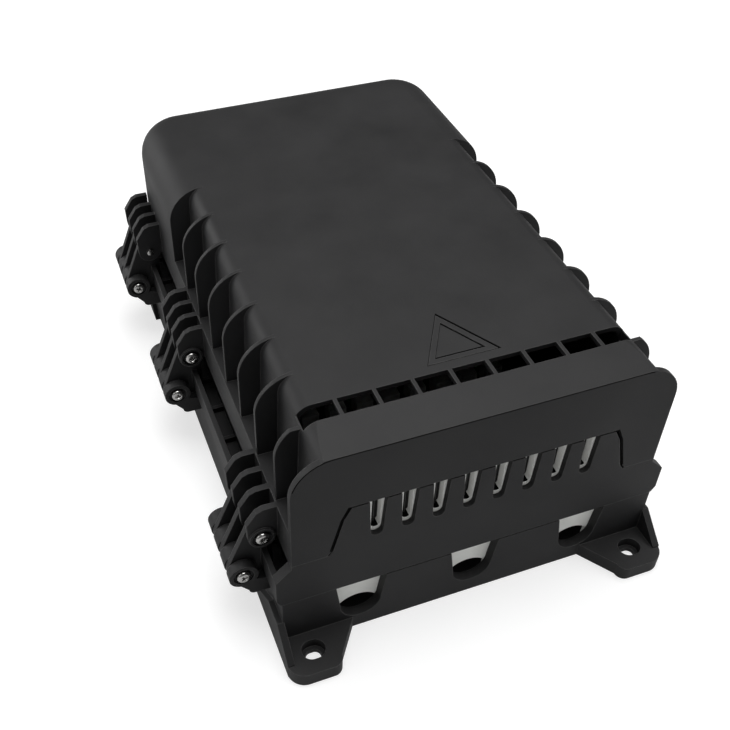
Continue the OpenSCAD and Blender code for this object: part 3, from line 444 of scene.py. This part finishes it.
# To the radius of its head: half the width and the reach of each arm of the cross
arm_half_width, arm_reach = 0.17, 0.56
# The foot of the cross to its mouth, and the rounded tip to the radius of the shank
cross_taper, tip_round = 0.45, 0.3
head_sides = 40
# Each screw of a node is turned further than the one before, so that their crosses differ
first_lean, lean_step = 0.5, 1.1
# Share of a length that is picked as its end, and the normal of a face picked as facing down
at_end, faces_down = 0.99, -0.9


def cross_head_screw(shank_r, length, head_r, head_h):
    """A pan-head screw on the origin: head up, shank down, a tapered cross in its crown."""
    screw = rod("screw", head_r, (0, 0, 0), (0, 0, head_h), head_sides)
    bpy.ops.object.mode_set(mode="EDIT")
    pick("EDGE", lambda place: place.z > head_h * at_end)
    bpy.ops.mesh.bevel(offset=head_h * crown_round, segments=6, profile=0.5, affect="EDGES")
    pick("FACE", lambda place, normal: normal.z < faces_down)
    bpy.ops.mesh.inset(thickness=head_r - shank_r, depth=0)
    bpy.ops.mesh.extrude_region_move(TRANSFORM_OT_translate={"value": (0, 0, -length)})
    pick("EDGE", lambda place: place.z < -length * at_end)
    bpy.ops.mesh.bevel(offset=shank_r * tip_round, segments=2, profile=0.5, affect="EDGES")
    bpy.ops.object.mode_set(mode="OBJECT")
    arm, reach = head_r * arm_half_width, head_r * arm_reach
    floor_z = head_h - head_h * cross_depth
    for side in (Vector((arm, reach, 0)), Vector((reach, arm, 0))):
        cutter = block("recess", -side + Vector((0, 0, floor_z)),
                       side + Vector((0, 0, head_h * cross_top)))
        bpy.ops.object.mode_set(mode="EDIT")
        pick("FACE", lambda place, normal: normal.z < faces_down)
        bpy.ops.transform.resize(
            value=(cross_taper, cross_taper, 1), center_override=(0, 0, floor_z))
        bpy.ops.object.mode_set(mode="OBJECT")
        cut_away(screw, cutter)
    smooth(screw)
    return screw


def find_islands(node):
    """The corners of each loose solid of a CAD node, from a merged copy of its mesh."""
    mesh = bmesh.new()
    mesh.from_mesh(nodes[node].data)
    bmesh.ops.remove_doubles(mesh, verts=mesh.verts, dist=0.000001)
    left = set(mesh.verts)
    islands = []
    while left:
        found, edge = [], [min(left, key=lambda corner: corner.index)]
        left.discard(edge[0])
        while edge:
            corner = edge.pop()
            found.append(corner.co.copy())
            for link in corner.link_edges:
                other = link.other_vert(corner)
                if other in left:
                    left.discard(other)
                    edge.append(other)
        islands.append(found)
    mesh.free()
    return islands


def replace_screws(node, body, head_h):
    """Puts a modelled screw where each solid of a screw node is, head for head."""
    screws = []
    model = None
    for corners in find_islands(node):
        low = Vector([min(corner[i] for corner in corners) for i in range(3)])
        high = Vector([max(corner[i] for corner in corners) for i in range(3)])
        centre, span = (low + high) / 2, high - low
        along = max(range(3), key=lambda i: span[i])

        def girth(corner):
            return Vector([0 if i == along else corner[i] - centre[i] for i in range(3)]).length

        widest = max(corners, key=girth)
        head_r = girth(widest)
        forward = widest[along] > centre[along]
        axis = Vector([(1 if forward else -1) if i == along else 0 for i in range(3)])
        foot = [corner for corner in corners if (corner - centre).dot(axis) < -span[along] / 4]
        shank_r = max(girth(corner) for corner in foot)
        if model is None:
            model = cross_head_screw(shank_r, span[along] - head_h, head_r, head_h)
        seat = centre + axis * (span[along] / 2 - head_h)
        turn = axis.to_track_quat("Z", "Y").to_matrix().to_4x4()
        lean = Matrix.Rotation(first_lean + lean_step * len(screws), 4, "Z")
        screws.append(copy_to(model, "screw_copy", turn @ lean, seat))
    bpy.data.objects.remove(model, do_unlink=True)
    piece = join(node + "_cross_head", screws)
    dress(piece, steel, body)
    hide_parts(node)


hinge_head_h = 2.4 * mm
small_head_h = 1.8 * mm
for node, body, head_h in (
    ("lower_hinge_screws", "base_tray", hinge_head_h),
    ("upper_hinge_screws", "top_cover", hinge_head_h),
    ("panel_screws", "swing_frame", small_head_h),
    ("comb_screws", "swing_frame", small_head_h),
    ("tray_screws", "base_tray", small_head_h),
    ("clamp_screws", "base_tray", small_head_h),
    ("post_screws", "base_tray", small_head_h),
    ("earth_screws", "base_tray", small_head_h),
):
    replace_screws(node, body, head_h)

# How far a cutter runs past what it cuts, and one shape into another that it is fused with
overrun = 1 * mm

# The seal strip behind the drop slots: a boss fills the back of each slot, cut by a keyhole
strip_low, strip_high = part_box("drop_slot_seal")
strip_t = 1.7 * mm
strip_back = strip_low.y + strip_t
rubber_edge = 0.2 * mm
round_sides = 32
slot_n = 8
slot_pitch = 15 * mm
slot_foot_r = 3 * mm
slot_x = [(i - (slot_n - 1) / 2) * slot_pitch for i in range(slot_n)]
boss_h = 2.3 * mm
boss_foot_r = 2.9 * mm
boss_top_half = 4.05 * mm
boss_top_gap = 0.1 * mm
boss_y = strip_low.y - boss_h
boss_z = strip_low.z + 2 * slot_foot_r
boss_back = strip_low.y + overrun
strip = block("keyhole_seal_strip", strip_low, (strip_high.x, strip_back, strip_high.z))
for x in slot_x:
    boss = block("boss", (x - boss_foot_r, boss_y, boss_z),
                 (x + boss_foot_r, boss_back, strip_high.z - boss_top_gap))
    bpy.ops.object.mode_set(mode="EDIT")
    pick("VERT", lambda place: place.z > (boss_z + strip_high.z) / 2)
    bpy.ops.transform.resize(
        value=(boss_top_half / boss_foot_r, 1, 1), center_override=(x, 0, 0))
    bpy.ops.object.mode_set(mode="OBJECT")
    fuse(strip, boss)
    fuse(strip, rod("boss_foot", boss_foot_r,
                    (x, boss_y, boss_z), (x, boss_back, boss_z), round_sides))

keyhole_half = 2.25 * mm
keyhole_z = 73.1 * mm
keyhole_shift = 0.3 * mm
keyhole_x = [x + keyhole_shift for x in slot_x]
for x in keyhole_x:
    y0, y1 = boss_y - overrun, strip_back + overrun
    cut_away(strip, block("mouth", (x - keyhole_half, y0, keyhole_z),
                          (x + keyhole_half, y1, strip_high.z + overrun)))
    cut_away(strip, rod("foot", keyhole_half,
                        (x, y0, keyhole_z), (x, y1, keyhole_z), round_sides))
soften(strip, rubber_edge, 2)
smooth(strip)
dress(strip, seal, "swing_frame")
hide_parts("drop_slot_seal")

membrane_t = 0.8 * mm
membrane = block("slit_membrane", (strip_low.x, strip_back, strip_low.z),
                 (strip_high.x, strip_back + membrane_t, strip_high.z))
soften(membrane, rubber_edge, 2)
dress(membrane, gasket, "swing_frame")

# Painted shadow: a near-black liner on the floor of each keyhole and up its left side stands in
# for the shade there
liner_t = 0.12 * mm
liner_setback = 0.25 * mm
# Share of the keyhole's half width, right of its middle, where the painted shadow ends
liner_end = 0.6
shadow_liners = []
for x in keyhole_x:
    y0, y1 = boss_y + liner_setback, strip_back
    shadow_liner = rod("shadow_liner", keyhole_half, (x, y0, keyhole_z), (x, y1, keyhole_z), round_sides)
    y0, y1 = y0 - overrun, y1 + overrun
    cut_away(shadow_liner, rod("bore", keyhole_half - liner_t,
                        (x, y0, keyhole_z), (x, y1, keyhole_z), round_sides))
    top = Vector((x + keyhole_half * 2, y1, keyhole_z + keyhole_half * 2))
    cut_away(shadow_liner, block("upper_half", (x - keyhole_half * 2, y0, keyhole_z), top))
    cut_away(shadow_liner, block(
        "right_end", (x + keyhole_half * liner_end, y0, keyhole_z - keyhole_half * 2), top))
    shadow_liners.append(shadow_liner)
dress(join("keyhole_painted_shadows", shadow_liners), shadow_line, "swing_frame")

# The closed lips of a slit: a thin bar up the middle of each keyhole
lip_half = 0.2 * mm
lip_edge = 0.15 * mm
lip_reach = 1.4 * mm
lip_sink = 0.4 * mm
lip_top_gap = 0.5 * mm
lips = []
for x in keyhole_x:
    lip = block("lip", (x - lip_half, strip_back - lip_reach, keyhole_z - keyhole_half),
                (x + lip_half, strip_back + lip_sink, strip_high.z - lip_top_gap))
    soften(lip, lip_edge, 2)
    lips.append(lip)
dress(join("slit_lips", lips), lip_rubber, "swing_frame")

# Painted shadow: a thin near-black line just inside the top and upper left edge of the cover's
# end plate, where the edge casts its shade
plate_half = 92.5 * mm
plate_foot_z = 64 * mm
plate_top_z = 127 * mm
plate_middle_z = (plate_foot_z + plate_top_z) / 2
plate_y = -148 * mm
plate_corner_r = 19.5 * mm
line_inset = 0.1 * mm
line_w = 0.55 * mm
line_sink = 0.1 * mm
line_proud = 0.05 * mm
line_reach_down = 14 * mm
line_right_gap = 16 * mm
deselect()
bpy.ops.mesh.primitive_plane_add(
    size=1, rotation=(math.radians(90), 0, 0),
    location=(0, plate_y + line_sink, plate_middle_z))
plate_shadow_strip = bpy.context.active_object
plate_shadow_strip.name = "end_plate_painted_shadow"
plate_shadow_strip.scale = (2 * plate_half, plate_top_z - plate_foot_z, 1)
settle(plate_shadow_strip)
bpy.ops.object.mode_set(mode="EDIT")
pick("VERT", lambda place: place.z > plate_middle_z)
bpy.ops.mesh.bevel(offset=plate_corner_r, segments=16, profile=0.5, affect="VERTICES")
pick("FACE", lambda place, normal: True)
bpy.ops.mesh.inset(thickness=line_inset, depth=0)
bpy.ops.mesh.select_all(action="INVERT")
bpy.ops.mesh.delete(type="FACE")
bpy.ops.mesh.select_all(action="SELECT")
bpy.ops.mesh.inset(thickness=line_w, depth=0)
bpy.ops.mesh.delete(type="FACE")
bpy.ops.object.mode_set(mode="OBJECT")
thicken(plate_shadow_strip, line_proud + line_sink, 1)
bpy.ops.object.mode_set(mode="EDIT")
bpy.ops.mesh.select_all(action="SELECT")
bpy.ops.mesh.bisect(plane_co=(0, 0, plate_top_z - line_reach_down), plane_no=(0, 0, 1),
                    clear_inner=True, use_fill=True)
bpy.ops.mesh.select_all(action="SELECT")
bpy.ops.mesh.bisect(plane_co=(plate_half - line_right_gap, 0, 0), plane_no=(1, 0, 0),
                    clear_outer=True, use_fill=True)
bpy.ops.object.mode_set(mode="OBJECT")
dress(plate_shadow_strip, shadow_line, "top_cover")

# Painted shadow: dark strips on the end plate along the gap beside the sloping sides of the
# tongue stand in for the shade in the gap: x and z of each corner
notch_knee = (74.0 * mm, 66.0 * mm)
notch_side = (69.2 * mm, 85.6 * mm)
notch_top = (65.8 * mm, 93.2 * mm)
notch_w = 0.75 * mm
notch_proud = 0.06 * mm
notch_sink = 0.2 * mm
painted_gap_shadows = []
for side in (-1, 1):
    for low_end, high_end in ((notch_knee, notch_side), (notch_side, notch_top)):
        x0, x1 = side * low_end[0], side * high_end[0]
        painted_gap_shadow = block("painted_gap_shadow", (0, plate_y - notch_proud, low_end[1]),
                        (notch_w, plate_y + notch_sink, high_end[1]))
        bpy.ops.object.mode_set(mode="EDIT")
        bpy.ops.mesh.select_all(action="SELECT")
        bpy.ops.transform.translate(value=(x0 if side > 0 else x0 - notch_w, 0, 0))
        pick("VERT", lambda place: place.z > (low_end[1] + high_end[1]) / 2)
        bpy.ops.transform.translate(value=(x1 - x0, 0, 0))
        bpy.ops.object.mode_set(mode="OBJECT")
        painted_gap_shadows.append(painted_gap_shadow)
dress(join("notch_painted_gap_shadows", painted_gap_shadows), shadow_line, "top_cover")

# Painted shadows: dark lines where the raised triangle meets the top stand in for its shade,
# widest outside its right side and inside its foot
emblem_side = 34 * mm
emblem_line = 2.6 * mm
emblem_foot_y = -113.4 * mm
emblem_middle_y = emblem_foot_y + emblem_side / (2 * root3)
top_z = 129 * mm
flat_lift = 0.01 * mm
flat_t = 0.08 * mm
outer_w, outer_extra = 0.6 * mm, 0.9 * mm
inner_w, inner_extra = 0.65 * mm, 0.6 * mm
inner_edge = emblem_line - 0.6 * mm


def triangle_shadow_line(name, side, width, shift_x, shift_y):
    """A flat painted shadow line inside a triangle of the given side, shifted from the raised
    one's middle.
    """
    deselect()
    bpy.ops.mesh.primitive_circle_add(
        vertices=3, radius=side / root3, fill_type="NGON",
        location=(shift_x, emblem_middle_y + shift_y, top_z + flat_lift))
    line = bpy.context.active_object
    line.name = name
    settle(line)
    bpy.ops.object.mode_set(mode="EDIT")
    bpy.ops.mesh.select_all(action="SELECT")
    bpy.ops.mesh.inset(thickness=width, depth=0)
    bpy.ops.mesh.delete(type="FACE")
    bpy.ops.object.mode_set(mode="OBJECT")
    thicken(line, flat_t, 0)
    return line


emblem_painted_shadows = [
    triangle_shadow_line("outer_shadow", emblem_side + 2 * root3 * outer_w, outer_w + outer_extra,
                  0.7 * mm, 0.55 * mm),
    triangle_shadow_line("inner_shadow", emblem_side - 2 * root3 * inner_edge, inner_w + inner_extra,
                  -0.3 * mm, 0.4 * mm),
]
dress(join("emblem_painted_shadows", emblem_painted_shadows), shadow_line, "top_cover")

# Finger ridges on the outside of each latch
barrel_r = 3.2 * mm
arm_half = 1.25 * mm
ridge_n = 5
ridge_pitch = 2.6 * mm
ridge_h = 1.2 * mm
ridge_edge = 0.4 * mm
ridge_first_z = 2 * mm
ridge_end_gap = 1.5 * mm
ridge_sink = 0.2 * mm
ridge_proud = 0.7 * mm
for node, body in (
    ("front_cover_latch", "cover_latch_front"),
    ("rear_cover_latch", "cover_latch_rear"),
    ("front_frame_latch", "frame_latch_front"),
    ("rear_frame_latch", "frame_latch_rear"),
):
    low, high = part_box(node)
    face_x = high.x - barrel_r + arm_half
    ridge_z = low.z + ridge_first_z
    ridge = block("ridge", (face_x - ridge_sink, low.y + ridge_end_gap, ridge_z),
                  (face_x + ridge_proud, high.y - ridge_end_gap, ridge_z + ridge_h))
    soften(ridge, ridge_edge, 3)
    smooth(ridge)
    ridges = [
        copy_to(ridge, "ridge_copy", shift=(0, 0, i * ridge_pitch)) for i in range(ridge_n)]
    bpy.data.objects.remove(ridge, do_unlink=True)
    dress(join(node + "_ridges", ridges), latch_black, body)


# The studio: floor and background glow, and more so where they are seen directly
def glow_node(tree, always, seen_extra):
    seen = tree.nodes.new("ShaderNodeLightPath").outputs["Is Camera Ray"]
    return math_node(tree, "ADD", math_node(tree, "MULTIPLY", seen, seen_extra), always)


floor_size = 8
floor_drop = 0.2 * mm
deselect()
bpy.ops.mesh.primitive_plane_add(size=floor_size, location=(0, 0, -floor_drop))
floor = bpy.context.active_object
floor.name = "studio_floor"
floor_finish = bpy.data.materials.new("studio_floor")
floor_finish.use_nodes = True
floor_shader = floor_finish.node_tree.nodes["Principled BSDF"]
floor_shader.inputs["Base Color"].default_value = (0.5, 0.5, 0.5, 1)
floor_shader.inputs["Roughness"].default_value = 0.8
floor_shader.inputs["Specular IOR Level"].default_value = 0.2
floor_shader.inputs["Emission Color"].default_value = (1, 1, 1, 1)
floor_finish.node_tree.links.new(
    glow_node(floor_finish.node_tree, always=0.17, seen_extra=0.45),
    floor_shader.inputs["Emission Strength"])
floor.data.materials.append(floor_finish)
floor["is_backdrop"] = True

world = bpy.data.worlds.new("studio")
bpy.context.scene.world = world
world.use_nodes = True
sky = world.node_tree.nodes["Background"]
sky.inputs["Color"].default_value = (1, 1, 1, 1)
world.node_tree.links.new(
    glow_node(world.node_tree, always=0.15, seen_extra=0.8), sky.inputs["Strength"])


def soft_light(name, place, target, size, power):
    data = bpy.data.lights.new(name, "AREA")
    data.shape = "RECTANGLE"
    data.size, data.size_y = size
    data.energy = power
    lamp = bpy.data.objects.new(name, data)
    bpy.context.scene.collection.objects.link(lamp)
    lamp.location = place
    lamp.rotation_euler = (Vector(target) - Vector(place)).to_track_quat("-Z", "Y").to_euler()


soft_light("overhead", (0.1, 0.1, 1.6), (0, 0, 0.1), (1.3, 1.3), 25)
soft_light("left_fill", (-1.5, -0.2, 0.8), (0, 0, 0.06), (1.0, 1.0), 3)
soft_light("back_left_strip", (-1.1, 1.1, 0.5), (0, 0, 0.08), (0.9, 0.7), 8.3)
soft_light("right_fill", (1.2, -0.6, 0.7), (0, 0, 0.05), (0.8, 0.8), 4.5)
bpy.context.scene.view_settings.view_transform = "Standard"

# The size of the dressed model
low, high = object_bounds()
